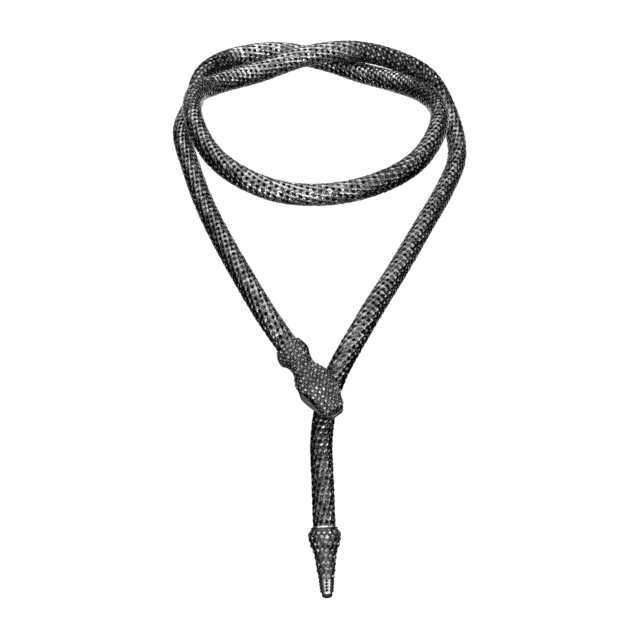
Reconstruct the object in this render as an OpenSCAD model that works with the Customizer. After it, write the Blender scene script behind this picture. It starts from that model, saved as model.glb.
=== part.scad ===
// A long snake of metal mesh, worn twice round the neck. Its stone-set head lies over the other strand,
// which passes through a keeper behind the head and hangs down to a stone-set cap with a bright tip.
// The origin is where the strand rests on the nape of the neck. The wearer faces -Y, and +Z is up.

/* [Strand] */
// Height of the mesh tube, across the face that lies on the body
tube_w = 12; // [11.6:0.1:12.2]
// Thickness of the mesh tube where it is pressed to the body
tube_t = 10.6; // [10:0.1:11]
// Sides of the tube
tube_sides = 12; // [8:2:12]

/* [Head] */
// How far the nose leans forward
head_lean = 13; // [12:0.5:14]
// How far the nose swings to the wearer's left
head_swing = 36; // [35:0.5:37]
// Depth of the socket that takes the end of the tube
head_socket = 7.5; // [6.5:0.5:8.5]
// Thickness of the smooth jaw plate
jaw_t = 2.2; // [1.8:0.1:2.4]

/* [Keeper] */
// Width of the keeper's strip
keeper_w = 4; // [3:0.5:5]
// Thickness of the keeper's strip
keeper_t = 1.5; // [1.2:0.1:1.8]

/* [Tail] */
// How far the tail cap leans forward
tail_lean = 18; // [16:1:20]
// How far the tail cap swings to the wearer's left
tail_swing = 2.5; // [1:0.5:4]
// Depth of the socket that takes the end of the tube
tail_socket = 6.5; // [5.5:0.5:8]
// Length of the bright tip
tip_len = 9.3; // [8.3:0.5:10.8]

/* [Hidden] */
$fn = 48;

fit = 0.3;              // gap between pieces that slide into each other
neck = [2, -54, 0];     // the upright middle of the neck

// The route of the strand from the head to the tail cap, as the photo shows it
route = [
    [-7.5, -138, -158], [-22, -132, -138], [-35, -119, -118], [-47, -101, -99],
    [-57, -83, -81], [-65, -65, -62], [-71, -44, -43], [-66.3, -22, -28],
    [-60.5, -4, -10.5], [-44.5, 14, -1], [-19, 21, 2.5], [7, 18.8, -2.2],
    [30, 6.2, -10], [48, -11.4, -15.3], [63, -36.2, -21.7], [70, -60, -32],
    [66, -81, -46], [54, -98, -60], [34, -108, -70], [10, -113, -75],
    [-15, -111, -74], [-37, -103, -66], [-53, -87, -54], [-63, -66, -37],
    [-64, -41, -23], [-52, -17, -16], [-30, 0, -9.5], [-4, 5.5, -0.4],
    [22, 5.1, 2.8], [47, -1.9, -2.4], [67, -10.4, -14], [78, -23, -36],
    [81, -38, -56], [74, -54, -73], [61, -76, -93], [46, -98, -116],
    [29, -119, -141], [12, -132, -171], [6, -135, -198], [6.5, -142, -224],
    [7.5, -151, -252]
];
spans = len(route) - 1;
span_rings = 2;         // rings of the tube in each span
round_spans = 3;        // spans near each end over which the tube turns from round to flatter

// Head: distance from the collar's back edge, half widths towards -X and +X, height above and depth below
// the middle. It is rolled a little towards +X, so that side hides the jaw plate.
head_rows = [
    [0, 6.9, 6.9, 6.9, 6.9], [1, 7.3, 7.2, 7.2, 7.1], [2.4, 8.2, 7.7, 7.8, 7.4],
    [4.5, 8.8, 8.2, 8.1, 7.6], [6.4, 9, 8.4, 8.2, 7.7], [7.8, 8.6, 8.1, 7.9, 7.4],
    [9.2, 7.3, 7.4, 7.3, 7], [11, 6.4, 6.8, 6.8, 6.5], [13.6, 6.1, 6.3, 6.5, 6],
    [15.4, 6.7, 6.6, 6.5, 5.7], [17.4, 7.9, 7.7, 6.6, 5.4], [19.4, 8.9, 8.8, 6.7, 5.2],
    [21.6, 9.7, 9.7, 6.8, 5], [24.5, 10, 10.4, 6.8, 4.9], [26.5, 9.2, 10.4, 6.7, 4.7],
    [29.6, 8.1, 10, 6.3, 4.5], [33, 7.6, 9.4, 5.9, 4.4], [37, 7.2, 8.5, 5.4, 4.2],
    [39.8, 6.6, 7.3, 4.9, 4.1], [41.8, 5.5, 6.2, 4.2, 3.7], [43.1, 3.8, 5.1, 3.2, 3.2],
    [43.8, 1.8, 3.3, 2, 2.2]
];
head_sides = 28;
head_reach = 50;        // a little more than the head's length
head_floor = 2.5;       // depth of the flat under side that the jaw plate is seated on
floor_from = 17;        // the flat under side starts this far from the collar's back edge

// Jaw plate: distance from the collar's back edge and half widths towards -X and +X
jaw_rows = [
    [17.5, 4, 4], [18.2, 5.8, 5.6], [20.5, 8.2, 7.6], [23.5, 9.9, 9], [26.5, 10.7, 9.5],
    [29.5, 10.3, 9.1], [32.5, 9.5, 8.5], [35.5, 8.5, 7.8], [38, 7.7, 7], [40, 6.8, 6.2],
    [42, 5.6, 5.2], [43.6, 4, 4], [44.5, 2, 2.6]
];

// Keeper: where it stands on the jaw plate, and how the strand crosses it
keeper_at = [-1, -34.5];
keeper_turn = 49;
strand_from_jaw = 6;    // from the jaw plate's back to the middle of the strand

// Tail cap: distance from the rim and radius
cap_rows = [
    [0, 7], [0.8, 7.9], [2.2, 8.4], [3.4, 8.6], [5.2, 8.3], [7.5, 7.8], [9.4, 7.3], [10, 6.8],
    [12, 6.2], [15, 5.6], [18.5, 5.1], [22, 4.7], [26.2, 4.1]
];
cap_end = cap_rows[len(cap_rows) - 1];
rim_t = 0.9;            // thickness and width of the bright ring on the cap's top
rim_w = 0.7;

// Tip: how much it is narrower than the cap's end at its top and at its rounded foot
tip_step = 0.1;
tip_foot = 2.8;
tip_round = 2.4;

function unit(v) = v / norm(v);
function flat(v) = [v[0], v[1], 0];
function smooth(u) = u * u * (3 - 2 * u);

// A point of the route and its direction, at a whole or broken number of spans from the head
function guide(i) =
    i < 0 ? 2 * route[0] - route[1] :
    i > spans ? 2 * route[spans] - route[spans - 1] : route[i];
function span_of(u) = min(floor(u), spans - 1);
function route_point(u) =
    let(i = span_of(u), t = u - i, a = guide(i - 1), b = guide(i), c = guide(i + 1), d = guide(i + 2))
    (2 * b + (c - a) * t + (2 * a - 5 * b + 4 * c - d) * t^2 + (3 * b - a - 3 * c + d) * t^3) / 2;
function route_way(u) =
    let(i = span_of(u), t = u - i, a = guide(i - 1), b = guide(i), c = guide(i + 1), d = guide(i + 2))
    unit((c - a) + 2 * (2 * a - 5 * b + 4 * c - d) * t + 3 * (3 * b - a - 3 * c + d) * t^2);

// The tube is round at its ends and pressed flatter against the body between them
function pressed(u) = smooth(min(1, min(u, spans - u) / round_spans));
function half_t(u) = (tube_w + (tube_t - tube_w) * pressed(u)) / 2;

// One ring of the tube, its thin way pointing away from the middle of the neck
function tube_ring(u) =
    let(
        p = route_point(u), way = route_way(u),
        away = flat(p - neck), out = unit(away - (away * way) * way), up = cross(way, out)
    )
    [for (k = [0:tube_sides - 1]) let(a = 360 * k / tube_sides)
        p + half_t(u) * cos(a) * out + tube_w / 2 * sin(a) * up];

// One ring of the head, seen from the collar: right, back, left, front
function head_ring(row) =
    [for (k = [0:head_sides - 1]) let(a = 360 * k / head_sides)
        [(cos(a) > 0 ? row[2] : row[1]) * cos(a), (sin(a) > 0 ? row[4] : row[3]) * sin(a), -row[0]]];

// A closed skin through rings that all have the same number of points
module skin(rings) {
    n = len(rings[0]);
    last = len(rings) - 1;
    sides = [
        for (i = [0:last - 1], k = [0:n - 1]) let(j = (k + 1) % n)
            each [[i * n + k, (i + 1) * n + j, i * n + j], [i * n + k, (i + 1) * n + k, (i + 1) * n + j]]
    ];
    first_cap = [for (k = [0:n - 1]) k];
    last_cap = [for (k = [n - 1:-1:0]) last * n + k];
    polyhedron([for (r = rings) each r], concat(sides, [first_cap, last_cap]));
}

// Stands on the head end of the strand: the nose points to -Z, the stones face -Y
module on_head() {
    translate(route[0]) rotate([-head_lean, -head_swing, 0]) translate([0, 0, head_socket]) children();
}

// Stands on the tail end of the strand: the rim is at zero and the tip points to -Z
module on_tail() {
    translate(route[spans]) rotate([-tail_lean, -tail_swing, 0]) translate([0, 0, tail_socket]) children();
}

// The hole that takes an end of the tube, to be cut from a cap that starts at zero
module socket(depth) {
    translate([0, 0, -depth - fit]) cylinder(d = tube_w + 2 * fit, h = 2 * depth);
}

module mesh_body() {
    color("dimgray")
    skin([for (i = [0:spans * span_rings]) tube_ring(i / span_rings)]);
}

module snake_head() {
    color("dimgray") on_head()
    difference() {
        skin([for (row = head_rows) head_ring(row)]);
        socket(head_socket);
        translate([-head_reach / 2, head_floor, -head_reach])
            cube([head_reach, head_reach, head_reach - floor_from]);
    }
}

// The jaw plate's outline
module jaw_outline() {
    polygon(concat(
        [for (row = jaw_rows) [row[2], -row[0]]],
        [for (i = [len(jaw_rows) - 1:-1:0]) [-jaw_rows[i][1], -jaw_rows[i][0]]]
    ));
}

// The strip that holds the strand behind the jaw plate, drawn round the middle of the strand
module keeper() {
    inside = tube_w / 2 + 2 * fit;
    outside = inside + keeper_t;
    leg = strand_from_jaw + jaw_t / 2;      // from the strand's middle to the middle of the jaw plate
    translate([keeper_at[0], head_floor + jaw_t + strand_from_jaw, keeper_at[1]])
    rotate([0, keeper_turn, 0])
    translate([0, 0, -keeper_w / 2])
    linear_extrude(keeper_w)
    difference() {
        union() {
            circle(outside);
            translate([-outside, -leg]) square([2 * outside, leg]);
        }
        circle(inside);
        translate([-inside, -2 * leg]) square([2 * inside, 2 * leg]);
    }
}

module jaw_plate() {
    color("gray") on_head() {
        translate([0, head_floor + jaw_t, 0]) rotate([90, 0, 0]) linear_extrude(jaw_t) jaw_outline();
        keeper();
    }
}

module tail_cap() {
    color("dimgray") on_tail()
    difference() {
        rotate_extrude() polygon(concat(
            [for (row = cap_rows) [row[1], -row[0]]],
            [[0, -cap_end[0]], [0, 0]]
        ));
        socket(tail_socket);
    }
}

module cap_rim() {
    color("silver") on_tail()
    rotate_extrude()
    translate([tube_w / 2 + fit, 0]) square([rim_w, rim_t]);
}

module tail_tip() {
    foot = -cap_end[0] - tip_len;
    color("silver") on_tail()
    rotate_extrude()
    polygon(concat(
        [[0, -cap_end[0]], [cap_end[1] - tip_step, -cap_end[0]]],
        [for (a = [0:15:90])
            [tip_foot - tip_round + tip_round * cos(a), foot + tip_round - tip_round * sin(a)]],
        [[0, foot]]
    ));
}

mesh_body();
snake_head();
jaw_plate();
tail_cap();
cap_rim();
tail_tip();
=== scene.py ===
# %% [markdown]
# # A snake necklace of metal mesh
# The real thing is a tube of small metal plates, 12 mm across and a good metre long, worn twice round
# the neck. The head is set with stones and lies over the other strand. The tail ends in a stone-set cap.
# The CAD model gives every piece its place and size. This script gives each one its real surface.

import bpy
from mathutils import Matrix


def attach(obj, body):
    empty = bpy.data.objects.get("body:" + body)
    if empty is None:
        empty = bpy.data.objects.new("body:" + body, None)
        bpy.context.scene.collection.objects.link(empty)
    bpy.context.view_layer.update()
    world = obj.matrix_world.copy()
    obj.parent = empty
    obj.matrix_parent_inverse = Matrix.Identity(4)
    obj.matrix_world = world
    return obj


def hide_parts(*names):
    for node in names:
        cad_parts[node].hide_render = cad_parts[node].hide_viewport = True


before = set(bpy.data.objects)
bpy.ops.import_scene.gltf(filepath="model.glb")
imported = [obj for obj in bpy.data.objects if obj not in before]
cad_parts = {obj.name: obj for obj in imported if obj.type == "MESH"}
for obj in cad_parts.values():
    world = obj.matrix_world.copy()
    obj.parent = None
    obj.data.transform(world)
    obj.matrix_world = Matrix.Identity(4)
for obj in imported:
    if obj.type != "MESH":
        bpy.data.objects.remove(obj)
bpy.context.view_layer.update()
print("CAD nodes:", sorted(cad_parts))

# %% Tools
import math
import random

import bmesh
import bpy
import numpy as np
from mathutils import Matrix, Vector

MM = 0.001
WELD = 0.01 * MM  # points nearer than this count as one
random.seed(8)

# %% [markdown]
# ## The route of the strand
# A chain could be hung by a physics run, but this one is worn, so its route is known from the
# photograph. The points of the CAD model are joined by the same smooth curve, so that the plates lie
# exactly on the CAD tube.

# %% Points of the route in mm, from the head to the tail
ROUTE = MM * np.array([
    (-7.5, -138, -158), (-22, -132, -138), (-35, -119, -118), (-47, -101, -99), (-57, -83, -81),
    (-65, -65, -62), (-71, -44, -43), (-66.3, -22, -28), (-60.5, -4, -10.5), (-44.5, 14, -1),
    (-19, 21, 2.5), (7, 18.8, -2.2), (30, 6.2, -10), (48, -11.4, -15.3), (63, -36.2, -21.7),
    (70, -60, -32), (66, -81, -46), (54, -98, -60), (34, -108, -70), (10, -113, -75), (-15, -111, -74),
    (-37, -103, -66), (-53, -87, -54), (-63, -66, -37), (-64, -41, -23), (-52, -17, -16),
    (-30, 0, -9.5), (-4, 5.5, -0.4), (22, 5.1, 2.8), (47, -1.9, -2.4), (67, -10.4, -14), (78, -23, -36),
    (81, -38, -56), (74, -54, -73), (61, -76, -93), (46, -98, -116), (29, -119, -141), (12, -132, -171),
    (6, -135, -198), (6.5, -142, -224), (7.5, -151, -252),
])
NECK = MM * np.array([2, -54, 0])  # the upright middle of the neck
SPANS = len(ROUTE) - 1
GUIDES = np.vstack([2 * ROUTE[0] - ROUTE[1], ROUTE, 2 * ROUTE[-1] - ROUTE[-2]])
print(len(ROUTE), "points")


# %% The curve through the points
def on_route(u):
    """Places and directions of the strand at an array of span numbers."""
    i = np.clip(np.floor(u).astype(int), 0, SPANS - 1)
    t = (u - i)[:, None]
    a, b, c, d = (GUIDES[i + k] for k in range(4))
    place = (2 * b + (c - a) * t + (2 * a - 5 * b + 4 * c - d) * t**2 + (3 * b - a - 3 * c + d) * t**3) / 2
    way = (c - a) + 2 * (2 * a - 5 * b + 4 * c - d) * t + 3 * (3 * b - a - 3 * c + d) * t**2
    return place, way / np.linalg.norm(way, axis=1)[:, None]


fine_steps = np.linspace(0, SPANS, 100 * SPANS + 1)
fine_places = on_route(fine_steps)[0]
fine_lengths = np.concatenate([[0], np.cumsum(np.linalg.norm(np.diff(fine_places, axis=0), axis=1))])
STRAND = fine_lengths[-1]
print(f"the strand is {STRAND:.3f} m long")

# %% [markdown]
# ## Bending straight things along the route
# A curve modifier would do this too, but it turns the piece by its own rules. Here every piece is built
# straight along X, with Y away from the neck, and its points are then carried to the route. The tube is
# pressed a little flatter between its round ends, as in the CAD model.

# %% Carry a straight mesh to the route
TUBE_W = 12 * MM
TUBE_T = 10.6 * MM
ROUND_SPANS = 3


def bend(mesh):
    """Carries each point from (along the strand, away from the neck, across) to its place on the route."""
    straight = np.empty(len(mesh.vertices) * 3)
    mesh.vertices.foreach_get("co", straight)
    straight = straight.reshape(-1, 3)
    u = np.interp(straight[:, 0], fine_lengths, fine_steps)
    place, way = on_route(u)
    away = (place - NECK) * (1, 1, 0)
    out = away - (away * way).sum(axis=1)[:, None] * way
    out /= np.linalg.norm(out, axis=1)[:, None]
    up = np.cross(way, out)
    near_end = np.clip(np.minimum(u, SPANS - u) / ROUND_SPANS, 0, 1)
    pressed = near_end**2 * (3 - 2 * near_end)
    flatter = 1 + (TUBE_T / TUBE_W - 1) * pressed
    bent = place + (straight[:, 1] * flatter)[:, None] * out + straight[:, 2, None] * up
    mesh.vertices.foreach_set("co", bent.ravel())
    mesh.update()


# %% [markdown]
# ## From a bmesh to a piece
# A bmesh is a mesh that is still being worked on.

# %% Make an object from a bmesh
def add_object(name, data):
    """Puts a mesh, a camera or a light into the scene."""
    obj = bpy.data.objects.new(name, data)
    bpy.context.scene.collection.objects.link(obj)
    return obj


def mesh_object(name, bm, materials):
    mesh = bpy.data.meshes.new(name)
    bm.to_mesh(mesh)
    bm.free()
    for material in materials:
        mesh.materials.append(material)
    return add_object(name, mesh)


def piece(name, bm, materials, replaces=(), smooth_under=None):
    """Turns a bmesh into a shown piece that rides on the root body."""
    obj = mesh_object(name, bm, materials)
    mesh = obj.data
    if smooth_under is not None:
        mesh.polygons.foreach_set("use_smooth", [True] * len(mesh.polygons))
        mesh.set_sharp_from_angle(angle=math.radians(smooth_under))
    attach(obj, "root")
    if replaces:
        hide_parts(*replaces)
    print(f"{name}: {len(mesh.polygons)} faces")
    return obj


# %% [markdown]
# ## Writing shader maths
# A material is a graph of nodes. Written as nodes, a sum takes five lines. This small class wraps a
# socket, so that `0.3 + 0.2 * noise` adds the Math nodes by itself.

# %% The socket wrapper
def operator(operation, reflected=False):
    """A method that adds one Math node."""
    def method(self, other):
        first, second = (other, self) if reflected else (self, other)
        return self.graph.node("ShaderNodeMath", {"operation": operation}, {0: first, 1: second})
    return method


class Socket:
    """An output of a node that can be used in a sum."""

    __add__, __radd__ = operator("ADD"), operator("ADD", reflected=True)
    __sub__, __rsub__ = operator("SUBTRACT"), operator("SUBTRACT", reflected=True)
    __mul__, __rmul__ = operator("MULTIPLY"), operator("MULTIPLY", reflected=True)
    __pow__ = operator("POWER")

    def __init__(self, graph, socket):
        self.graph, self.socket = graph, socket


# %% [markdown]
# ## Building a material
# Every finish here is one Principled shader. Nodes feed only what changes over the surface. The pattern
# follows the object's own coordinates, so it needs no image and no UV map.

# %% The material builder
class Finish:
    """A material under construction: one shader, and any nodes that feed it."""

    def __init__(self, name, color, **values):
        self.material = bpy.data.materials.new(name)
        self.material.use_nodes = True
        self.tree = self.material.node_tree
        self.shader = self.tree.nodes["Principled BSDF"]
        self.shader.inputs["Base Color"].default_value = (*color, 1)
        for socket, value in values.items():
            self.shader.inputs[socket.replace("_", " ").title()].default_value = value

    def node(self, kind, settings=None, inputs=None, output=0):
        node = self.tree.nodes.new(kind)
        for name, value in (settings or {}).items():
            if name == "stops":
                ramp = node.color_ramp
                while len(ramp.elements) < len(value):
                    ramp.elements.new(1)
                for element, (position, color) in zip(ramp.elements, value):
                    element.position, element.color = position, (*color, 1)
            else:
                setattr(node, name, value)
        for key, value in (inputs or {}).items():
            if isinstance(value, Socket):
                self.tree.links.new(value.socket, node.inputs[key])
            else:
                node.inputs[key].default_value = value
        return Socket(self, node.outputs[output])

    def feed(self, socket, value):
        self.tree.links.new(value.socket, self.shader.inputs[socket])

    def attribute(self, name):
        return self.node("ShaderNodeAttribute", {"attribute_name": name}, output="Fac")

    def noise(self, scale, detail):
        place = self.node("ShaderNodeTexCoord", output="Object")
        return self.node("ShaderNodeTexNoise", None, {"Vector": place, "Scale": scale, "Detail": detail})

    def above_zero(self, value):
        return self.node("ShaderNodeMath", {"operation": "MAXIMUM"}, {0: value, 1: 0.0})

    def tone(self, value, stops):
        return self.node("ShaderNodeValToRGB", {"stops": stops}, {0: value})


# %% Greys and clouds
BLUER = 1.03  # the faint blue of gunmetal
CLOUD_LOW, CLOUD_HIGH = 0.3, 0.7  # a noise seldom leaves these values


def grey(*levels):
    """Ramp stops from (position, level) pairs."""
    return [(position, (level, level, level * BLUER)) for position, level in levels]


def clouded(finish, scale, detail, dark, light):
    """Lets the base colour drift between two greys."""
    cloud = finish.noise(scale, detail)
    finish.feed("Base Color", finish.tone(cloud, grey((CLOUD_LOW, dark), (CLOUD_HIGH, light))))


# %% [markdown]
# ## The plates of the mesh
# Each plate is a small domed square. Its corners are cut back in a hollow curve, so that four plates
# leave a round hole between them. The holes could be cut out of a tube, but thousands of cuts are slow
# and leave poor faces. So one plate is shaped from a grid, and thousands of copies make the skin.

# %% Sizes of the mesh, measured on the photograph
PLATES_ROUND = 12
ROW_PITCH = 3.25 * MM
ROWS_PER_REPEAT = 3  # each row is turned by a third of a plate, so every third row lines up
PLATE_TOP = 5.97 * MM  # from the middle of the tube to the top of a plate
PLATE_WIDTH = 2 * math.pi * PLATE_TOP / PLATES_ROUND
PLATE_DOME = 0.22 * MM
PLATE_EDGE = 0.38 * MM  # how far the side of a plate goes down
PLATE_DRAFT = 0.9  # the under side's share of the plate's width
SEAM = 0.01 * MM  # half the gap between two plates
HOLE_CORNER, HOLE_SIDE = 0.49, 0.74  # the corners and the points beside them are pulled in to these shares
CORNER_DIP = -0.4  # the corners bend down by this share of the dome
AT_EDGE, BESIDE_CORNER = 0.9, 0.4  # these limits tell the grid's points apart
print(f"a plate is {ROW_PITCH / MM:.2f} by {PLATE_WIDTH / MM:.2f} mm")


# %% One plate
def fill_holes(bm):
    bmesh.ops.holes_fill(bm, edges=[e for e in bm.edges if e.is_boundary], sides=0)


def add_plate(bm):
    """A domed plate at the origin, its length along X and its top towards +Z."""
    grid = bmesh.ops.create_grid(bm, x_segments=4, y_segments=4, size=1.0, calc_uvs=False)["verts"]
    for v in grid:
        reach_x, reach_y = abs(v.co.x), abs(v.co.y)
        near, far = sorted((reach_x, reach_y))
        v.co.z = 1 - far**2
        if near > AT_EDGE:
            v.co.xy *= HOLE_CORNER
            v.co.z = CORNER_DIP
        elif far > AT_EDGE and near > BESIDE_CORNER:
            v.co.x *= HOLE_SIDE if reach_x < AT_EDGE else 1
            v.co.y *= HOLE_SIDE if reach_y < AT_EDGE else 1
    rim = [e for e in bm.edges if e.is_boundary]
    side = bmesh.ops.extrude_edge_only(bm, edges=rim)["geom"]
    for e in rim:
        e.smooth = False
    low = [g for g in side if isinstance(g, bmesh.types.BMVert)]
    for v in low:
        v.co.z = -PLATE_EDGE / PLATE_DOME
        v.co.xy *= PLATE_DRAFT
    fill_holes(bm)
    verts = grid + low
    bmesh.ops.scale(bm, vec=(ROW_PITCH / 2 - SEAM, PLATE_WIDTH / 2 - SEAM, PLATE_DOME), verts=verts)
    return verts


# %% [markdown]
# ## The rings under the holes
# Hidden rings hold the plates together. They show only as a dim glint inside a hole, so each one is a
# thin ring of a few faces, made by spinning a small square. No two lie quite alike.

# %% One ring
RING_R = 0.55 * MM
RING_WIRE = 0.16 * MM
RING_DEPTH = 0.6 * MM
RING_TILT = 0.5  # radians, to either side


def chance_turn(most, axis):
    """A turn by chance about an axis, by up to this many radians either way."""
    return Matrix.Rotation(random.uniform(-most, most), 4, axis)


def add_ring(bm):
    """A ring round Z at the origin, tilted a little."""
    wire = bmesh.ops.create_circle(bm, segments=4, radius=RING_WIRE)["verts"]
    bmesh.ops.rotate(bm, verts=wire, cent=(0, 0, 0), matrix=Matrix.Rotation(math.pi / 2, 3, "X"))
    bmesh.ops.translate(bm, verts=wire, vec=(RING_R, 0, 0))
    edges = list({e for v in wire for e in v.link_edges})
    before = set(bm.verts) - set(wire)
    bmesh.ops.spin(bm, geom=wire + edges, cent=(0, 0, 0), axis=(0, 0, 1), angle=2 * math.pi, steps=8,
                   use_merge=True)
    verts = [v for v in bm.verts if v not in before]
    tilt = chance_turn(RING_TILT, "X") @ chance_turn(RING_TILT, "Y")
    bmesh.ops.rotate(bm, verts=verts, cent=(0, 0, 0), matrix=tilt)
    return verts


# %% [markdown]
# ## One repeat of the skin
# Three rows of twelve plates line up with the next three, so only they are placed one by one. The shape
# is sheared so that each plate meets its neighbour in the next row, and then wrapped round the tube.
# Each point keeps its plate's number and its place on the plate, for later steps.

# %% Wrap a flat shape round the tube
def wrap(point, row, column, shift, lift):
    """Carries a point of a flat plate or ring to the tube."""
    turned = 1 / ROWS_PER_REPEAT
    x = point.x + shift * ROW_PITCH
    y = point.y + shift * PLATE_WIDTH
    turn = (column + row * turned) * PLATE_WIDTH + y + x * PLATE_WIDTH * turned / ROW_PITCH
    angle, radius = turn / PLATE_TOP, lift + point.z
    return row * ROW_PITCH + x, radius * math.cos(angle), radius * math.sin(angle)


# %% Place the plates and rings of three rows
GLINT_SPOT_R = 1.15 * MM  # how far the painted glint in a plate's middle reaches
KINDS = [  # what is made, its material, its shift in plates, and its distance out
    (add_plate, 0, 0, PLATE_TOP - PLATE_DOME), (add_ring, 1, 0.5, PLATE_TOP - RING_DEPTH),
]


def add_repeat(bm):
    """Makes three rows and returns the faces of each plate and ring."""
    number = bm.verts.layers.int.new("number")
    crown = bm.verts.layers.float.new("crown")
    local = bm.verts.layers.float_vector.new("local")
    shells = []
    for row, column in np.ndindex(ROWS_PER_REPEAT, PLATES_ROUND):
        for add, material, shift, lift in KINDS:
            count = len(bm.faces)
            verts = add(bm)
            bm.faces.ensure_lookup_table()
            shells.append(bm.faces[count:])
            for f in shells[-1]:
                f.material_index = material
                f.smooth = True
            for v in verts:
                # The middle of each plate is marked for its painted glint.
                if add is add_plate and v.co.z > 0:
                    v[crown] = max(0.0, 1 - v.co.xy.length / GLINT_SPOT_R)
                v[number] = len(shells) - 1
                v[local] = v.co
                v.co = wrap(v.co, row, column, shift, lift)
    return shells


# %% [markdown]
# Wrapping turns shapes inside out, so the normals are worked out again. Blender can guess wrong on a
# ring as small as these, so each shell is tested too: seen from its middle, its faces must look away.

# %% Turn every shell to look outwards
def looks_inwards(faces):
    """Tells whether the faces of a small closed shell look to its inside."""
    middle = sum((f.calc_center_median() for f in faces), Vector()) / len(faces)
    return sum((f.calc_center_median() - middle).dot(f.normal) * f.calc_area() for f in faces) < 0


def face_outwards(bm, shells):
    bmesh.ops.recalc_face_normals(bm, faces=bm.faces)
    bm.normal_update()
    turned = [shell for shell in shells if looks_inwards(shell)]
    for shell in turned:
        bmesh.ops.reverse_faces(bm, faces=shell)
    print(len(turned), "of", len(shells), "shells turned to look outwards")


# %% [markdown]
# ## The metals of the mesh
# Polished metal has little colour of its own: its base colour says how much of the room it sends back.
# That differs at random from plate to plate. From length to length it carries painted light and painted
# shade. Where the painted light is dark, the middle of each plate gets a painted glint. Most rings are
# painted near black, a painted shade in the holes, and a few carry painted glints. Behind them all is dark.

# %% Materials of the mesh
GLINT_GAIN = 2.2  # how bright the painted glint in a plate's middle is where the painted lighting is quite dark


def plate_metal():
    finish = Finish("plate_gunmetal", (0.5, 0.5, 0.51), metallic=1.0, roughness=0.17)
    # Painted light and shade along the strand scale each plate's own tone; where they are dark, a painted
    # glint lights the plate's middle.
    plating = finish.attribute("plating")
    glint_share = finish.above_zero(1 - plating)
    own_tone = 0.1 + 0.43 * finish.attribute("tone") + 0.14 * finish.noise(900, 3)
    shade = own_tone * (plating + GLINT_GAIN * glint_share * finish.attribute("crown")**1.5)
    finish.feed("Base Color", finish.tone(shade, grey((0, 0), (1, 1))))
    finish.feed("Roughness", 0.08 + 0.12 * finish.noise(2500, 2))
    return finish.material


def ring_metal():
    finish = Finish("ring_gunmetal", (0.5, 0.5, 0.52), metallic=1.0, roughness=0.25)
    # Most rings are painted near black, a painted shade in the holes. A few are painted bright as painted
    # glints, more where the painted lighting is dark.
    glint_share = finish.above_zero(1 - finish.attribute("plating"))
    shine = finish.attribute("tone") + 0.3 * finish.noise(1200, 1) + 0.25 * glint_share
    finish.feed("Base Color", finish.tone(shine, grey((0.65, 0.02), (0.95, 0.6))))
    return finish.material


def core_black():
    finish = Finish("inner_shadow", (0.01, 0.01, 0.01), metallic=0.6, roughness=0.6)
    clouded(finish, 1500, 2, 0.004, 0.02)
    return finish.material


PLATE_METAL, RING_METAL, CORE_BLACK = plate_metal(), ring_metal(), core_black()
print(len(bpy.data.materials), "materials of the mesh")

# %% [markdown]
# ## The whole skin
# An Array modifier repeats the three rows along a straight line, which is quicker than placing thousands
# of plates. Its result is kept as a plain mesh, because each plate still has to differ from its copies.

# %% A straight line of repeats
SKIN_START = 3 * MM  # the strand's ends are hidden in the head and the cap
REPEATS = round((STRAND - 2 * SKIN_START) / (ROW_PITCH * ROWS_PER_REPEAT))
REPEAT_LENGTH = (STRAND - 2 * SKIN_START) / REPEATS
print(REPEATS, "repeats of", round(REPEAT_LENGTH / MM, 3), "mm")


def repeat_along_x(obj, count):
    array = obj.modifiers.new("rows", "ARRAY")
    array.count = count
    array.use_relative_offset = False
    array.use_constant_offset = True
    array.constant_offset_displace = (REPEAT_LENGTH, 0, 0)
    ready = obj.evaluated_get(bpy.context.evaluated_depsgraph_get())
    long_mesh = bpy.data.meshes.new_from_object(ready)
    obj.modifiers.clear()
    obj.data = long_mesh
    return long_mesh


# %% [markdown]
# Each real plate lies and shines a little differently. If only the plates of one repeat differed, their
# copies would draw stripes along the strand. So every plate of the long line gets its own tone and its
# own slight lean.

# %% A tone and a lean for every plate
LEAN = 0.1  # the most that a plate leans, as a slope
SHELLS_PER_REPEAT = len(KINDS) * PLATES_ROUND * ROWS_PER_REPEAT


def lean_plates(mesh, straight, count, seed):
    """Leans each plate by chance and keeps its tone as an attribute."""
    numbers = np.empty(len(mesh.vertices), dtype=np.int32)
    mesh.attributes["number"].data.foreach_get("value", numbers)
    local = np.empty(len(straight))
    mesh.attributes["local"].data.foreach_get("vector", local)
    local = local.reshape(-1, 3)
    repeat = np.arange(len(numbers)) // (len(numbers) // count)
    chance = np.random.default_rng(seed).random((count, SHELLS_PER_REPEAT, 3))[repeat, numbers]
    rise = LEAN * ((2 * chance[:, 0] - 1) * local[:, 0] + (2 * chance[:, 1] - 1) * local[:, 1])
    place = straight.reshape(-1, 3)
    place[:, 1:] *= 1 + (rise / np.linalg.norm(place[:, 1:], axis=1))[:, None]
    mesh.vertices.foreach_set("co", straight)
    tone = mesh.attributes.new("tone", "FLOAT", "POINT")
    tone.data.foreach_set("value", chance[:, 2].astype(np.float32))


# %% [markdown]
# The photograph shows darker and lighter lengths that no set of lights gives. So painted light and
# painted shade lie along the strand, and a short table says how bright they are from span to span.

# %% Painted light and shade along the strand
PAINTED_LIGHTING = np.array([  # span number and how bright the painted lighting is there
    (0, 0.8), (3, 0.9), (6.8, 0.9), (7.5, 0.15), (8.7, 0.15), (9.1, 1.5), (10.5, 1.4), (11.6, 1), (12, 2),
    (13.3, 2), (13.8, 0.2), (14.6, 0.2), (15, 0.8), (16.3, 0.8), (17.2, 0.2), (18.1, 0.3), (18.8, 1.2),
    (20, 1.3), (20.8, 0.92), (23.2, 0.82), (24.4, 1.1), (25, 1.4), (26.6, 1.4), (27.8, 1), (28.3, 0.05),
    (30.3, 0.05), (31, 0.7), (36.5, 0.8), (37.3, 0.12), (38.3, 0.15), (39, 0.45), (40, 0.45),
])


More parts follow.
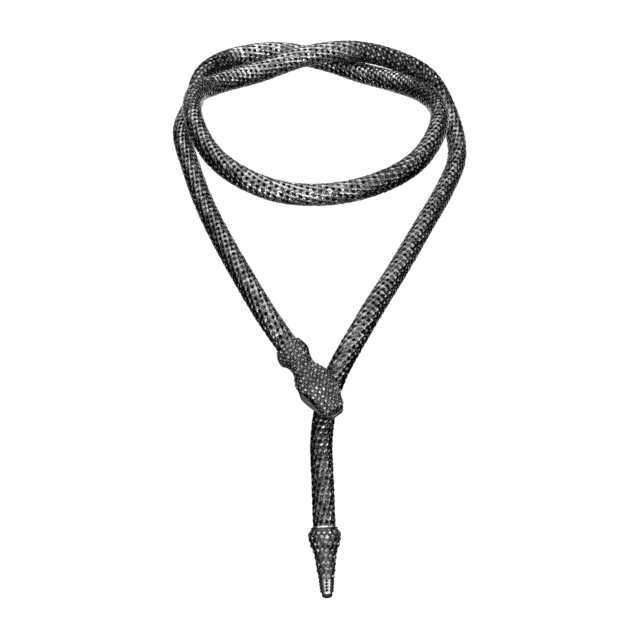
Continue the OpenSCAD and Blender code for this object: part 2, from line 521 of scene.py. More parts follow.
def paint_lighting_along(mesh, straight):
    # Painted light and shade: each point gets the painted lighting of its span.
    spans = np.interp(straight[::3], fine_lengths, fine_steps)
    plating = mesh.attributes.new("plating", "FLOAT", "POINT")
    plating.data.foreach_set("value", np.interp(spans, PAINTED_LIGHTING[:, 0], PAINTED_LIGHTING[:, 1]).astype(np.float32))


print("plating from", PAINTED_LIGHTING[:, 1].min(), "to", PAINTED_LIGHTING[:, 1].max())

# %% [markdown]
# The skin is made in four lengths, so that no piece grows too heavy. Each is bent along the route last.

# %% Four lengths of skin
SKIN_NAMES = ["skin_head_side", "skin_back_and_throat", "skin_throat_and_back", "skin_tail_side"]


def skin_length(name, first, count):
    bm = bmesh.new()
    face_outwards(bm, add_repeat(bm))
    bmesh.ops.scale(bm, vec=(REPEAT_LENGTH / (ROW_PITCH * ROWS_PER_REPEAT), 1, 1), verts=bm.verts)
    bmesh.ops.translate(bm, vec=(SKIN_START + ROW_PITCH / 2 + first * REPEAT_LENGTH, 0, 0), verts=bm.verts)
    obj = piece(name, bm, [PLATE_METAL, RING_METAL])
    long_mesh = repeat_along_x(obj, count)
    straight = np.empty(len(long_mesh.vertices) * 3)
    long_mesh.vertices.foreach_get("co", straight)
    lean_plates(long_mesh, straight, count, first)
    paint_lighting_along(long_mesh, straight)
    bend(long_mesh)
    print(f"{name}: {count * ROWS_PER_REPEAT} rows, {len(long_mesh.polygons)} faces")


ends = [round(REPEATS * k / len(SKIN_NAMES)) for k in range(len(SKIN_NAMES) + 1)]
for name, low, high in zip(SKIN_NAMES, ends, ends[1:]):
    skin_length(name, low, high - low)

# %% [markdown]
# ## The dark inside
# Through the holes one sees only shadow. A plain dark tube behind the plates gives it: a grid is rolled
# up, its seam is closed, and it is bent like the skin. It stands for the CAD tube.

# %% The core tube
CORE_R = 4.75 * MM
CORE_SIDES = 24
CORE_STEPS = 420


def core_tube():
    bm = bmesh.new()
    bmesh.ops.create_grid(bm, x_segments=CORE_STEPS, y_segments=CORE_SIDES, size=1.0)
    for v in bm.verts:
        along, angle = (v.co.x + 1) / 2, (v.co.y + 1) * math.pi
        v.co = (STRAND * along, CORE_R * math.cos(angle), CORE_R * math.sin(angle))
    bmesh.ops.remove_doubles(bm, verts=bm.verts, dist=WELD)
    fill_holes(bm)
    bmesh.ops.recalc_face_normals(bm, faces=bm.faces)
    obj = piece("inner_tube", bm, [CORE_BLACK], replaces=["mesh_body"], smooth_under=60)
    bend(obj.data)


core_tube()

# %% [markdown]
# ## Standing on the strand's ends
# The head and the tail cap are modelled upright, with the strand entering at the top. Two matrices carry
# them to the ends of the strand, leaning and swinging as in the CAD model.

# %% Places of the head and the tail
HEAD_LEAN, HEAD_SWING, HEAD_SOCKET = -13, -36, 7.5  # degrees, degrees and mm
TAIL_LEAN, TAIL_SWING, TAIL_SOCKET = -18, -2.5, 6.5


def at_end(point, lean, swing, socket):
    """Carries an upright piece to an end of the strand, which goes this far into it."""
    turned = Matrix.Rotation(math.radians(swing), 4, "Y") @ Matrix.Rotation(math.radians(lean), 4, "X")
    return Matrix.Translation(point) @ turned @ Matrix.Translation((0, 0, socket * MM))


ON_HEAD = at_end(ROUTE[0], HEAD_LEAN, HEAD_SWING, HEAD_SOCKET)
ON_TAIL = at_end(ROUTE[-1], TAIL_LEAN, TAIL_SWING, TAIL_SOCKET)
for place, matrix in (("collar", ON_HEAD), ("rim", ON_TAIL)):
    print(place, "at", [round(c, 4) for c in matrix.translation])

# %% [markdown]
# ## The head
# It is one casting: a lobed collar, a narrow neck, a broad brow and a blunt nose. It could be sculpted,
# but a table gives its outline as the photograph shows it. Rings of points follow the table so closely
# that the metal looks smooth without a modifier.

# %% Sections of the head in mm: distance from the collar, half widths to the left and right, height, depth
HEAD_ROWS = np.array([
    (0, 6.9, 6.9, 6.9, 6.9), (1, 7.3, 7.2, 7.2, 7.1), (2.4, 8.2, 7.7, 7.8, 7.4), (4.5, 8.8, 8.2, 8.1, 7.6),
    (6.4, 9, 8.4, 8.2, 7.7), (7.8, 8.6, 8.1, 7.9, 7.4), (9.2, 7.3, 7.4, 7.3, 7), (11, 6.4, 6.8, 6.8, 6.5),
    (13.6, 6.1, 6.3, 6.5, 6), (15.4, 6.7, 6.6, 6.5, 5.7), (17.4, 7.9, 7.7, 6.6, 5.4),
    (19.4, 8.9, 8.8, 6.7, 5.2), (21.6, 9.7, 9.7, 6.8, 5), (24.5, 10, 10.4, 6.8, 4.9),
    (26.5, 9.2, 10.4, 6.7, 4.7), (29.6, 8.1, 10, 6.3, 4.5), (33, 7.6, 9.4, 5.9, 4.4),
    (37, 7.2, 8.5, 5.4, 4.2), (39.8, 6.6, 7.3, 4.9, 4.1), (41.8, 5.5, 6.2, 4.2, 3.7),
    (43.1, 3.8, 5.1, 3.2, 3.2), (43.8, 1.8, 3.3, 2, 2.2),
])


def head_section(distance):
    """Half widths to the left and right, height and depth, anywhere along the head, in mm."""
    return [float(np.interp(distance, HEAD_ROWS[:, 0], HEAD_ROWS[:, k])) for k in (1, 2, 3, 4)]


def head_point(distance, angle):
    """A point of the head's surface. The top middle is at minus a quarter turn."""
    left, right, above, below = head_section(distance)
    across = (right if math.cos(angle) > 0 else left) * math.cos(angle)
    depth = (below if math.sin(angle) > 0 else above) * math.sin(angle)
    return Vector((across, depth, -distance)) * MM


print("section near the widest place:", head_section(24), "mm")

# %% [markdown]
# Stones and beads stand off the surface. That direction is square to two short steps on it, one along
# and one around.

# %% The direction that stands off a surface
STEP_ALONG, STEP_AROUND = 0.05, 0.02  # mm and radians


def outward(surface, distance, angle):
    along = surface(distance + STEP_ALONG, angle) - surface(distance - STEP_ALONG, angle)
    around = surface(distance, angle + STEP_AROUND) - surface(distance, angle - STEP_AROUND)
    return along.cross(around).normalized()


# %% [markdown]
# The stones sit in the metal, so it lies a little deeper where they are set. The back of the collar has
# no stones and keeps its full size. On the left the paving ends at a smooth ledge and then at the mouth,
# a deep dark groove above the lip. The under side is flat where the jaw plate lies.

# %% Where the head's metal lies, in mm and radians
STONE_HEIGHT = 0.5
COLLAR_END = 15.5  # past here the stones go round to the head's edge
COLLAR_TURN = math.radians(74)  # how far round the collar the stones go from its top middle
SINK_EDGE = 0.12  # the angle over which the metal comes up again past them
HEAD_FLOOR = 2.5
FLOOR_FROM = 16
MOUTH_FROM = 30.5
MOUTH_DEPTH = 1.6
LEDGE_SPAN, LEDGE_DEPTHS = (24, MOUTH_FROM), (-3, -1)  # the ledge comes down between these distances
NO_LIMIT = 99.0
PAVED_LEFT = np.array([  # distance, and how far left the stones reach
    (22, 9.6), (24.5, 9.3), (26.6, 8.7), (28.5, 7.7), (30.5, 6.7), (32.5, 6.3), (34.5, 6.5), (36.5, 7.3),
])


def paved_left(distance):
    """How far left the stones reach above the lip."""
    if PAVED_LEFT[0, 0] < distance < PAVED_LEFT[-1, 0]:
        return float(np.interp(distance, PAVED_LEFT[:, 0], PAVED_LEFT[:, 1]))
    return NO_LIMIT


def sink(distance, angle):
    """How far the metal lies under the head's full size."""
    if distance >= COLLAR_END:
        return STONE_HEIGHT
    from_top = abs((angle + math.pi / 2 + math.pi) % (2 * math.pi) - math.pi)
    edge = (COLLAR_TURN + SINK_EDGE - from_top) / SINK_EDGE
    return STONE_HEIGHT * min(1.0, max(0.0, edge))


# %% [markdown]
# Each ring starts as a circle, whose points are then moved. Neighbouring rings are bridged and the two
# ends filled, so the casting is closed and its socket is a real hollow.

# %% Rings and the loft through them
HEAD_SIDES = 72
HEAD_SOCKET_R = 6.25


def head_ring(bm, distance):
    ring = bmesh.ops.create_circle(bm, segments=HEAD_SIDES, radius=1)["verts"]
    for v in ring:
        angle = math.atan2(v.co.y, v.co.x)
        v.co = head_point(distance, angle) - outward(head_point, distance, angle) * sink(distance, angle) * MM
        if v.co.x < -paved_left(distance) * MM:
            ledge = float(np.interp(distance, LEDGE_SPAN, LEDGE_DEPTHS))
            v.co.y = max(v.co.y, (MOUTH_DEPTH if distance > MOUTH_FROM else ledge) * MM)
        if distance > FLOOR_FROM:
            v.co.y = min(v.co.y, HEAD_FLOOR * MM)
    return ring


def socket_ring(bm, distance):
    ring = bmesh.ops.create_circle(bm, segments=HEAD_SIDES, radius=HEAD_SOCKET_R * MM)["verts"]
    bmesh.ops.translate(bm, verts=ring, vec=(0, 0, -distance * MM))
    return ring


def loop_edges(ring):
    inside = set(ring)
    return [e for e in {e for v in ring for e in v.link_edges} if inside.issuperset(e.verts)]


def loft(bm, rings):
    """Joins neighbouring rings with faces and closes both ends."""
    for low, high in zip(rings, rings[1:]):
        bmesh.ops.bridge_loops(bm, edges=loop_edges(low) + loop_edges(high))
    fill_holes(bm)
    bmesh.ops.recalc_face_normals(bm, faces=bm.faces)


# %% [markdown]
# ## The finishes of the head
# The casting is blackened and cloudy, the setting beads are worn bright, and the jaw plate is polished
# gunmetal with a fine grain. The mouth groove is painted near black, a painted shade. The stones are
# smoky and mirror-like. Glass would render slowly and look much the same at this size, so they are
# metal, painted dark on some facets and light on others as a painted sparkle.

# %% Materials of the head
def head_metal():
    finish = Finish("blackened_metal", (0.06, 0.06, 0.065), metallic=1.0, roughness=0.3)
    clouded(finish, 700, 3, 0.03, 0.12)
    finish.feed("Roughness", 0.15 + 0.3 * finish.noise(350, 3))
    return finish.material


def stone():
    finish = Finish("smoky_stone", (0.2, 0.2, 0.21), metallic=0.9, roughness=0.26)
    # A painted sparkle: each facet's tone makes it light or dark, in place of the glints of glass.
    facet_sparkle = finish.attribute("tone") + 0.1 * finish.noise(1500, 1)
    stops = grey((0.1, 0.02), (0.45, 0.12), (0.75, 0.5), (0.95, 0.9))
    finish.feed("Base Color", finish.tone(facet_sparkle, stops))
    return finish.material


def bead_metal():
    finish = Finish("bead_metal", (0.6, 0.6, 0.62), metallic=1.0, roughness=0.18)
    clouded(finish, 900, 2, 0.28, 0.6)
    return finish.material


# A painted shade: the mouth groove is painted near black, as shade falls in it.
def groove_shade():
    finish = Finish("painted_groove_shade", (0.01, 0.01, 0.01), metallic=0.8, roughness=0.5)
    clouded(finish, 800, 2, 0.01, 0.04)
    return finish.material


def polished_gunmetal():
    finish = Finish("polished_gunmetal", (0.3, 0.3, 0.31), metallic=1.0, roughness=0.2)
    clouded(finish, 250, 4, 0.05, 0.11)
    finish.feed("Roughness", 0.14 + 0.14 * finish.noise(3000, 2))
    return finish.material


HEAD_METAL, STONE, BEAD_METAL = head_metal(), stone(), bead_metal()
GROOVE_SHADE, GUNMETAL = groove_shade(), polished_gunmetal()
print(len(bpy.data.materials), "materials so far")

# %% Make the head's casting
HEAD_END, HEAD_STEP = 43.9, 0.6  # where the rings end, and their distance from each other
GROOVE_EDGE, GROOVE_TOP = 0.4, -2.5  # how far right and how far up the groove's painted shade and the ledge's polished finish go


def head_casting():
    bm = bmesh.new()
    rings = [socket_ring(bm, HEAD_SOCKET), socket_ring(bm, 0)]
    rings += [head_ring(bm, d) for d in np.arange(0, HEAD_END, HEAD_STEP)]
    loft(bm, rings)
    for f in bm.faces:
        place = f.calc_center_median() / MM
        if place.x < GROOVE_EDGE - paved_left(-place.z) and place.y > GROOVE_TOP:
            # Faces in the mouth groove get the painted shade; those of the ledge get polished gunmetal.
            f.material_index = 1 if -place.z > MOUTH_FROM else 2
    bm.transform(ON_HEAD)
    piece("head_casting", bm, [HEAD_METAL, GROOVE_SHADE, GUNMETAL], replaces=["snake_head"],
          smooth_under=50)


head_casting()

# %% [markdown]
# ## Setting stones
# A stone is a cone with its top cut flat: eight slanted facets and a table. It stands off the surface
# and wobbles a little, so that no two catch the same light. Small metal beads hold the stones, as a
# setter raises them with a graver.

# %% One stone and one bead
TABLE_SHARE = 0.46  # the table's share of a stone's radius
STONE_SEAT, STONE_TALL = 0.45, 1.1  # how deep its middle lies and how tall it is, in stone heights
STONE_SIDES = 8
STONE_WOBBLE = 0.09  # radians
BEAD_FLAT = 0.7  # a bead's height as a share of its width
BEAD_DEPTH = 0.35  # how far under the surface its middle lies, in mm


def facing(out, along, place):
    """A matrix that stands a piece on a surface."""
    side = out.cross(along).normalized()
    return Matrix.Translation(place) @ Matrix((side.cross(out), side, out)).transposed().to_4x4()


def add_stone(bm, surface, distance, angle, radius, tones):
    out = outward(surface, distance, angle)
    along = (surface(distance + 2 * STEP_ALONG, angle) - surface(distance, angle)).normalized()
    place = surface(distance, angle) - out * STONE_HEIGHT * STONE_SEAT * MM
    spin = Matrix.Rotation(random.uniform(0, math.pi / 4), 4, "Z")
    spin = spin @ chance_turn(STONE_WOBBLE, "X") @ chance_turn(STONE_WOBBLE, "Y")
    made = bmesh.ops.create_cone(
        bm, cap_ends=True, cap_tris=False, segments=STONE_SIDES, radius1=radius * MM,
        radius2=radius * TABLE_SHARE * MM, depth=STONE_HEIGHT * STONE_TALL * MM,
        matrix=facing(out, along, place) @ spin)
    # Each face is painted light or dark by chance, a painted sparkle.
    tone = bm.faces.layers.float["tone"]
    for f in sorted({f for v in made["verts"] for f in v.link_faces}, key=lambda face: face.index):
        f[tone] = random.choice(tones["table" if len(f.verts) == STONE_SIDES else "facet"])


def add_bead(bm, surface, distance, angle, radius, depth=BEAD_DEPTH):
    out = outward(surface, distance, angle)
    flat = Matrix.Translation(surface(distance, angle) - out * depth * MM) @ Matrix.Scale(BEAD_FLAT, 4, out)
    bmesh.ops.create_icosphere(bm, subdivisions=1, radius=radius * MM, matrix=flat)


# %% [markdown]
# Stones are set evenly on the metal itself. Equal steps in distance or angle would leave them wide apart
# where the surface is steep, so lengths are measured along the surface first.

# %% Even spacing
ROW_SAMPLES, RING_SAMPLES = 400, 200


def surface_lengths(points):
    """The length along a line of points, at each of them, in mm."""
    return np.concatenate([[0], np.cumsum(np.linalg.norm(np.diff(points, axis=0), axis=1))]) / MM


def row_distances(surface, angle, first, last, pitch):
    """Distances of rows that are evenly spaced along the surface."""
    fine = np.linspace(first, last, ROW_SAMPLES)
    length = surface_lengths(np.array([surface(d, angle) for d in fine]))
    count = max(1, round(length[-1] / pitch))
    return [float(np.interp(length[-1] * k / count, length, fine)) for k in range(count + 1)]


def angles_from_top(surface, distance, widest_turn, pitch, offset):
    """Angles on one ring, evenly spaced along it to both sides of the top middle."""
    found = []
    for side in (1, -1):
        fine = -math.pi / 2 + side * np.linspace(0, widest_turn, RING_SAMPLES)
        length = surface_lengths(np.array([surface(distance, a) for a in fine]))
        spot = offset * pitch if offset or side == 1 else pitch
        while spot <= length[-1]:
            found.append(float(np.interp(spot, length, fine)))
            spot += pitch
    return found


# %% [markdown]
# ## Stones on the head
# The stones stand in straight lines along the head, from its top middle outwards, and the beads stand in
# the middle of every four of them. Past the collar they go round to the head's edge.

# %% Pave the head
HEAD_PITCH = 2.7
HEAD_STONE_R, HEAD_BEAD_R = 1.16, 0.48
HEAD_PAVED = 1.3, 43.2  # the distances of the first and the last row
HEAD_TURN = math.radians(96)
STONE_MARGIN, BEAD_MARGIN = 0.9, 0.3  # how far they stay from the left end of the paving
# The tones of tables and facets give the head's painted sparkle.
HEAD_TONES = {"table": (0.58, 0.67, 0.75), "facet": (0.16, 0.45, 0.66)}


def paved_angles(row, offset, margin):
    """Angles of one row's stones or beads, clear of the ledge and the lip."""
    turn = COLLAR_TURN if row < COLLAR_END else HEAD_TURN
    angles = angles_from_top(head_point, row, turn, HEAD_PITCH, offset)
    return [a for a in angles if head_point(row, a).x >= -(paved_left(row) - margin) * MM]


def pave_head():
    stones, beads = bmesh.new(), bmesh.new()
    stones.faces.layers.float.new("tone")
    rows = row_distances(head_point, -math.pi / 2, *HEAD_PAVED, HEAD_PITCH)
    for row in rows:
        for angle in paved_angles(row, 0, STONE_MARGIN):
            add_stone(stones, head_point, row, angle, HEAD_STONE_R, HEAD_TONES)
    for row, next_row in zip(rows, rows[1:]):
        middle = (row + next_row) / 2
        for angle in paved_angles(middle, 0.5, BEAD_MARGIN):
            add_bead(beads, head_point, middle, angle, HEAD_BEAD_R)
    print(len(rows), "rows of stones on the head")
    set_pieces("head", stones, beads, ON_HEAD)


def set_pieces(owner, stones, beads, place):
    """Makes two pieces of the stones and the beads."""
    for f in beads.faces:
        f.smooth = True
    for bm in (stones, beads):
        bm.transform(place)
    piece(f"{owner}_stones", stones, [STONE])
    piece(f"{owner}_beads", beads, [BEAD_METAL])


pave_head()

# %% [markdown]
# ## The jaw plate
# A smooth plate closes the under side of the head, and its edge shows as the lower lip. Its outline is
# drawn as one face and pulled up to its thickness. Its edges are rounded with a bevel, because no real
# edge is quite sharp and a rounded one catches a line of light.

# %% Outline of the jaw plate in mm: distance, half widths to the left and right
JAW_ROWS = [
    (17.5, 4, 4), (18.2, 5.8, 5.6), (20.5, 8.2, 7.6), (23.5, 9.9, 9), (26.5, 10.7, 9.5), (29.5, 10.3, 9.1),
    (32.5, 9.5, 8.5), (35.5, 8.5, 7.8), (38, 7.7, 7), (40, 6.8, 6.2), (42, 5.6, 5.2), (43.6, 4, 4),
    (44.5, 2, 2.6),
]
JAW_T = 2.2
JAW_ROUND, KEEPER_ROUND = 0.75, 0.3  # how far the edges are rounded
CREASE = math.radians(60)  # edges that turn by more than this are rounded


def round_edges(bm, offset, segments):
    sharp = [e for e in bm.edges if e.calc_face_angle(0) > CREASE]
    bmesh.ops.bevel(bm, geom=sharp, offset=offset * MM, offset_type="OFFSET", segments=segments, profile=0.5,
                    affect="EDGES", material=-1)


def pulled(bm, face, vec):
    """Extrudes a face and returns the new one."""
    made = bmesh.ops.extrude_face_region(bm, geom=[face])["geom"]
    verts = [g for g in made if isinstance(g, bmesh.types.BMVert)]
    bmesh.ops.translate(bm, verts=verts, vec=vec)
    return next(g for g in made if isinstance(g, bmesh.types.BMFace))


# %% Make the jaw plate
def jaw_plate():
    bm = bmesh.new()
    outline = [(right, d) for d, _, right in JAW_ROWS] + [(-left, d) for d, left, _ in reversed(JAW_ROWS)]
    face = bm.faces.new([bm.verts.new(Vector((x, HEAD_FLOOR, -d)) * MM) for x, d in outline])
    pulled(bm, face, (0, JAW_T * MM, 0))
    bmesh.ops.recalc_face_normals(bm, faces=bm.faces)
    round_edges(bm, JAW_ROUND, segments=4)
    bm.transform(ON_HEAD)
    piece("jaw_and_lip", bm, [GUNMETAL], replaces=["jaw_plate"], smooth_under=40)


jaw_plate()

# %% [markdown]
# ## The keeper
# Behind the jaw plate a hidden loop holds the crossing strand: a flat strip that runs up, over the
# strand and down again. One small rectangle is pulled up, spun half round and pulled down, which gives a
# smooth arch with straight legs. The faces left inside it are then taken out.

# %% Make the keeper, with sizes in mm
KEEPER_AT = (-1, -34.5)
KEEPER_TURN = math.radians(49)
KEEPER_IN, KEEPER_OUT, KEEPER_W = 6.6, 8.1, 4
STRAND_FROM_JAW = 6
ARCH_STEPS = 24


def keeper():
    bm = bmesh.new()
    half = KEEPER_W / 2
    corners = [(KEEPER_IN, -half), (KEEPER_OUT, -half), (KEEPER_OUT, half), (KEEPER_IN, half)]
    leg = STRAND_FROM_JAW + JAW_T / 2
    start = bm.faces.new([bm.verts.new(Vector((x, -leg, z)) * MM) for x, z in corners])
    end = pulled(bm, start, Vector((0, leg, 0)) * MM)
    arch = bmesh.ops.spin(bm, geom=[end, *end.verts, *end.edges], cent=(0, 0, 0), axis=(0, 0, 1),
                          angle=math.pi, steps=ARCH_STEPS)["geom_last"]
    last = next(g for g in arch if isinstance(g, bmesh.types.BMFace))
    pulled(bm, last, Vector((0, -leg, 0)) * MM)
    inner = [f for f in bm.faces if all(len(e.link_faces) > 2 for e in f.edges)]
    bmesh.ops.delete(bm, geom=inner, context="FACES_ONLY")
    bmesh.ops.remove_doubles(bm, verts=bm.verts, dist=WELD)
    bmesh.ops.recalc_face_normals(bm, faces=bm.faces)
    round_edges(bm, KEEPER_ROUND, segments=2)
    stand = Vector((KEEPER_AT[0], HEAD_FLOOR + JAW_T + STRAND_FROM_JAW, KEEPER_AT[1])) * MM
    bm.transform(Matrix.Translation(stand) @ Matrix.Rotation(KEEPER_TURN, 4, "Y"))
    bm.transform(ON_HEAD)
    piece("keeper", bm, [GUNMETAL], smooth_under=40)


keeper()

# %% [markdown]
# ## The tail cap
# It is a body of revolution, so its outline is drawn once and spun round. The strand enters a socket at
# its top. Under the stones its metal is drawn in, as on the head.

# %% Outline of the cap: distance from the rim and radius, in mm
CAP_ROWS = np.array([
    (0, 7), (0.8, 7.9), (2.2, 8.4), (3.4, 8.6), (5.2, 8.3), (7.5, 7.8), (9.4, 7.3), (10, 6.8),
    (12, 6.2), (15, 5.6), (18.5, 5.1), (22, 4.7), (26.2, 4.1),
])
CAP_SOCKET_R = 6.3
CAP_SINK = 0.3  # how far the metal is drawn in under the stones
CAP_SIDES = 64


def spun(points, steps):
    """A closed body of revolution on the tail, from (radius, height) points in mm."""
    bm = bmesh.new()
    verts = [bm.verts.new(Vector((r, 0, z)) * MM) for r, z in points]
    edges = [bm.edges.new(pair) for pair in zip(verts, verts[1:])]
    bmesh.ops.spin(bm, geom=verts + edges, cent=(0, 0, 0), axis=(0, 0, 1), angle=2 * math.pi, steps=steps,
                   use_merge=True)
    bmesh.ops.remove_doubles(bm, verts=bm.verts, dist=WELD / 2)
    bmesh.ops.recalc_face_normals(bm, faces=bm.faces)
    bm.transform(ON_TAIL)
    return bm


def cap_point(distance, angle):
    """A point of the cap's full surface."""
    radius = float(np.interp(distance, CAP_ROWS[:, 0], CAP_ROWS[:, 1]))
    return Vector((radius * math.cos(angle), radius * math.sin(angle), -distance)) * MM


# %% Make the cap's casting
def cap_casting():
    top = [(0, -TAIL_SOCKET), (CAP_SOCKET_R, -TAIL_SOCKET), (CAP_SOCKET_R, 0)]
    side = [(r - (CAP_SINK if d > 0 else 0), -d) for d, r in CAP_ROWS]
    bm = spun([*top, *side, (0, -CAP_ROWS[-1, 0])], CAP_SIDES)
    piece("cap_casting", bm, [HEAD_METAL], replaces=["tail_cap"], smooth_under=40)


cap_casting()

# %% [markdown]
# The cap narrows, so each ring of stones takes as many as fit, and every other ring is turned by half a
# stone. The beads stand half a row lower.

# %% Set the cap's stones
CAP_PITCH = 3.2
CAP_STONE_R, CAP_BEAD_R = 1.46, 0.45
CAP_PAVED = 1.9, 24.7  # the distances of the first and the last row
CAP_BEADS_END = 25
# The tones of tables and facets give the cap's painted sparkle.
CAP_TONES = {"table": (0.4, 0.5, 0.6), "facet": (0.4, 0.6, 0.75)}


def pave_cap():
    stones, beads = bmesh.new(), bmesh.new()
    stones.faces.layers.float.new("tone")
    rows = row_distances(cap_point, 0, *CAP_PAVED, CAP_PITCH)
    for k, row in enumerate(rows):
        bead_row = row + CAP_PITCH / 2
        count = round(2 * math.pi * cap_point(row, 0).x / MM / CAP_PITCH)
        for j in range(count):
            turn = 2 * math.pi * (j + 0.5 * (k % 2)) / count - math.pi / 2
            add_stone(stones, cap_point, row, turn, CAP_STONE_R, CAP_TONES)
            if bead_row < CAP_BEADS_END:
                add_bead(beads, cap_point, bead_row, turn, CAP_BEAD_R)
    print(len(rows), "rows of stones on the cap")
    set_pieces("cap", stones, beads, ON_TAIL)


pave_cap()

# %% [markdown]
# ## The bright rim and the tip
# A thin polished ring closes the top of the cap. The tip below it is bright too: smooth flutes between
# ribs of small beads, ending in a round dark foot. They are spun like the cap. Their metal is light, and
# its roughness changes finely, as on a piece that has been worn.

# %% Bright metal
def bright_metal():
    finish = Finish("bright_polished_metal", (0.85, 0.85, 0.87), metallic=1.0, roughness=0.15)
    clouded(finish, 500, 3, 0.85, 0.97)
    finish.feed("Roughness", 0.16 + 0.16 * finish.noise(1800, 2))
    return finish.material


BRIGHT = bright_metal()
print("made", BRIGHT.name)

# %% Make the rim, from the radius and height of its outer corners in mm
RIM_ROWS = [(6.85, 0.9), (7, 0.75), (6.86, 0.2), (6.65, 0)]
RIM_SIDES = 72


def cap_rim():
    inner = [(CAP_SOCKET_R, 0), (CAP_SOCKET_R, RIM_ROWS[0][1])]
    bm = spun([*inner, *RIM_ROWS, inner[0]], RIM_SIDES)
    piece("bright_rim", bm, [BRIGHT], replaces=["cap_rim"], smooth_under=20)


cap_rim()

# %% Make the tip's flutes and foot, with sizes in mm
TIP_TOP, FLUTES_END, TIP_END = 26.2, 33.3, 35.5
FLUTE_R, FOOT_R = 3.55, 2.8
FLUTE_INSET = 0.1  # the flutes end a little inside the foot
FOOT_NECK = 0.5  # how far in and how high the foot's narrow top is
FOOT_START = -0.35  # where the foot's curve starts, in radians
FOOT_SIDES = 48


def tip_body():
    bm = spun([(0, -TIP_TOP), (FLUTE_R, -TIP_TOP), (FOOT_R - FLUTE_INSET, -FLUTES_END), (0, -FLUTES_END)],
              CAP_SIDES)
    piece("tip_flutes", bm, [BRIGHT], replaces=["tail_tip"], smooth_under=40)
    high = TIP_END - FLUTES_END
    foot = [(0, -FLUTES_END), (FOOT_R - FOOT_NECK, -FLUTES_END)]
    foot += [(FOOT_R * math.cos(a), -FLUTES_END - FOOT_NECK - (high - FOOT_NECK) * math.sin(a))
             for a in np.linspace(FOOT_START, math.pi / 2, 10)]
    bm = spun(foot, FOOT_SIDES)
    piece("tip_foot", bm, [GUNMETAL], smooth_under=50)


tip_body()

# %% Make the ribs of beads
TIP_RIBS, RIB_PITCH = 8, 1.6
RIB_BEAD_R, RIB_BEAD_DEPTH = 0.92, -0.05
RIB_START, RIB_MARGIN = 0.7, 0.2  # the ribs keep this far from the ends of the flutes


def tip_point(distance, angle):
    """A point of the tip's surface."""
    radius = FLUTE_R + (FOOT_R - FLUTE_R) * (distance - TIP_TOP) / (FLUTES_END - TIP_TOP)
    return Vector((radius * math.cos(angle), radius * math.sin(angle), -distance)) * MM


def tip_ribs():
    beads = bmesh.new()
    for rib in range(TIP_RIBS):
        turn = 2 * math.pi * rib / TIP_RIBS - math.pi / 2
        for distance in np.arange(TIP_TOP + RIB_START, FLUTES_END - RIB_MARGIN, RIB_PITCH):
            add_bead(beads, tip_point, distance, turn, RIB_BEAD_R, depth=RIB_BEAD_DEPTH)
    for f in beads.faces:
        f.smooth = True
    beads.transform(ON_TAIL)
    piece("tip_beads", beads, [HEAD_METAL])


tip_ribs()

# %% [markdown]
# ## Camera
# The photograph was taken from straight in front, a little from above, with a long lens. Such a lens
# stands well off, which keeps the near and the far strands at nearly one scale.

# %% Place the camera
TARGET = Vector((0.005, -0.125, -0.140))
DISTANCE = 1.2
ELEVATION = math.radians(5)


def aim(obj, place):
    """Stands a camera or a panel at a place and turns it to the target."""
    obj.location = place
    obj.rotation_euler = (TARGET - place).to_track_quat("-Z", "Y").to_euler()


camera_data = bpy.data.cameras.new("camera")
camera_data.lens = 129.8
camera_data.sensor_width = 36
camera = add_object("camera", camera_data)
aim(camera, TARGET + DISTANCE * Vector((0, -math.cos(ELEVATION), math.sin(ELEVATION))))
bpy.context.scene.camera = camera
print("camera at", [round(c, 4) for c in camera.location])

# %% [markdown]
# ## Floor and surroundings
# The photograph has a plain white ground without a shadow. A floor and a great ball round the scene,
# both glowing white, give it. They are hidden from reflections and cast no light on the snake, because
# polished metal in a white room looks white itself. For the metal, the room is almost black.

# %% Floor, ball and dark room
FLOOR_Z = -0.75
ROOM = 8  # how far the floor and the ball reach, in metres


def stage_piece(name, bm):
    """Makes a glowing white piece that only the camera sees."""
    finish = Finish(name, (0.9, 0.9, 0.9), roughness=0.9, emission_color=(1, 1, 1, 1), emission_strength=1.0)
    obj = mesh_object(name, bm, [finish.material])
    obj.visible_glossy = obj.visible_diffuse = obj.visible_shadow = False


floor_bm = bmesh.new()
bmesh.ops.create_grid(floor_bm, x_segments=1, y_segments=1, size=ROOM)
bmesh.ops.translate(floor_bm, verts=floor_bm.verts, vec=(0, 0, FLOOR_Z))
stage_piece("floor", floor_bm)
dome_bm = bmesh.new()
bmesh.ops.create_icosphere(dome_bm, subdivisions=4, radius=ROOM)
bmesh.ops.reverse_faces(dome_bm, faces=dome_bm.faces)
stage_piece("surroundings", dome_bm)

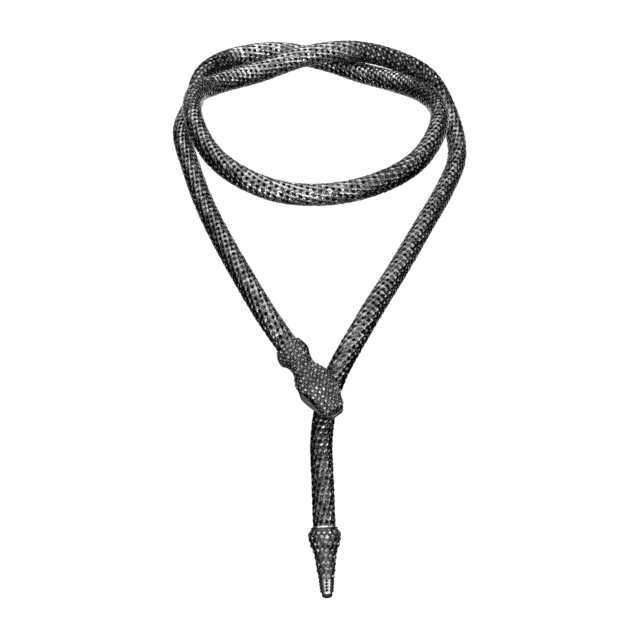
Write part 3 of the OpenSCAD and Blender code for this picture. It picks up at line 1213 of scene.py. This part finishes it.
world = bpy.data.worlds.new("dark_room")
world.use_nodes = True
world.node_tree.nodes["Background"].inputs["Color"].default_value = (0.004, 0.004, 0.0042, 1)
bpy.context.scene.world = world
print("the room reaches", ROOM, "m")

# %% [markdown]
# ## Panels of light
# Polished metal shows what stands round it, so soft panels in the dark room draw its form. A broad band
# in front gives the plates their grey, and a narrow bright stripe in it gives the highlights. Others
# light the sides, the top and the under side, and four behind keep the back from being lost in black.

# %% Place the panels
PANEL_DISTANCE = 2.0
PANELS = [  # name, azimuth, elevation, width and height in degrees, and glow
    ("front_band", -3, 0, 74, 24, 1.0), ("front_stripe", 4, -2, 46, 8, 4.2),
    ("right_side", 56, 2, 26, 26, 1.1), ("low_left", -40, -24, 28, 28, 2.0),
    ("front_lower", 10, -34, 36, 28, 0.4), ("underneath", 12, -66, 60, 36, 0.4),
    ("front_upper", -20, 38, 86, 48, 0.52), ("right_upper", 44, 38, 36, 44, 0.36),
    ("left_side", -64, 0, 18, 24, 0.4), ("high_left", -90, 52, 44, 36, 0.5),
    ("overhead", 0, 86, 60, 60, 1.3), ("high_right", 64, 24, 28, 38, 1.1),
    ("behind_left", -150, 40, 50, 34, 0.15), ("behind_right", 140, 14, 36, 50, 0.2),
    ("back_band", 180, 6, 56, 34, 1.4), ("back_lower", 180, -36, 50, 24, 0.6),
]


def panel(name, azimuth, elevation, wide, tall, glow):
    """A soft panel in a given direction. It glows the same however large it is."""
    turn, rise = math.radians(azimuth), math.radians(elevation)
    away = Vector((math.sin(turn) * math.cos(rise), -math.cos(turn) * math.cos(rise), math.sin(rise)))
    light = bpy.data.lights.new(name, "AREA")
    light.shape = "RECTANGLE"
    light.size = 2 * PANEL_DISTANCE * math.tan(math.radians(wide / 2))
    light.size_y = 2 * PANEL_DISTANCE * math.tan(math.radians(tall / 2))
    light.energy = glow * math.pi * light.size * light.size_y
    obj = add_object(name, light)
    aim(obj, TARGET + PANEL_DISTANCE * away)
    obj.visible_camera = False
    print(f"{name}: {light.size:.2f} by {light.size_y:.2f} m")


for row in PANELS:
    panel(*row)
bpy.context.scene.view_settings.view_transform = "Standard"
